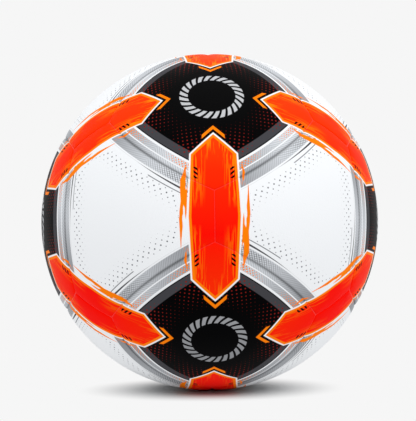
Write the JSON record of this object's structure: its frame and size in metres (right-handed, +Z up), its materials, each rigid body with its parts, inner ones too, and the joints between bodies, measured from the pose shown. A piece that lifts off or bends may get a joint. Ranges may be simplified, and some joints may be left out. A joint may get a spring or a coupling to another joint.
{
  "type": "soccer ball",
  "caption": "Inflated size 5 soccer ball: bonded four-sided and six-sided panels over a lined bladder, with a pull-out valve core.",
  "frame": {"origin": "the ball's centre", "axes": "+Z up as the ball lies in the picture, +X out along the valve axis, -Y towards the viewer"},
  "size_m": [0.2199, 0.22, 0.22],
  "materials": {
    "square_skin": "satin printed synthetic leather",
    "hexagon_skin": "satin printed synthetic leather",
    "foam": "closed-cell foam",
    "seam_compound": "matte sealing compound",
    "lining": "rubberised woven textile",
    "thread": "wound polyester thread",
    "butyl": "matte butyl rubber",
    "balance_rubber": "matte rubber",
    "boot_rubber": "matte moulded rubber",
    "core_rubber": "satin moulded rubber"
  },
  "bodies": {
    "ball": {"square_front_top_skin": "square_skin", "square_front_top_foam": "foam", "square_front_bottom_skin": "square_skin", "square_front_bottom_foam": "foam", "square_back_top_skin": "square_skin", "square_back_top_foam": "foam", "square_back_bottom_skin": "square_skin", "square_back_bottom_foam": "foam", "square_left_skin": "square_skin", "square_left_foam": "foam", "square_right_skin": "square_skin", "square_right_foam": "foam", "hexagon_top_left_skin": "hexagon_skin", "hexagon_top_left_foam": "foam", "hexagon_top_right_skin": "hexagon_skin", "hexagon_top_right_foam": "foam", "hexagon_front_left_skin": "hexagon_skin", "hexagon_front_left_foam": "foam", "hexagon_front_right_skin": "hexagon_skin", "hexagon_front_right_foam": "foam", "hexagon_back_left_skin": "hexagon_skin", "hexagon_back_left_foam": "foam", "hexagon_back_right_skin": "hexagon_skin", "hexagon_back_right_foam": "foam", "hexagon_bottom_left_skin": "hexagon_skin", "hexagon_bottom_left_foam": "foam", "hexagon_bottom_right_skin": "hexagon_skin", "hexagon_bottom_right_foam": "foam", "seam_web": "seam_compound", "textile_lining": "lining", "thread_winding": "thread", "bladder": "butyl", "balance_disc_front_top": "balance_rubber", "balance_disc_front_bottom": "balance_rubber", "balance_disc_back_top": "balance_rubber", "balance_disc_back_bottom": "balance_rubber", "counterweight_disc": "balance_rubber", "valve_boot": "boot_rubber"},
    "core": {"valve_core": "core_rubber"}
  },
  "joints": [
    {"name": "core_pull", "type": "slide", "parent": "ball", "child": "core", "axis": [1, 0, 0], "range_m": [0, 0.03]}
  ]
}
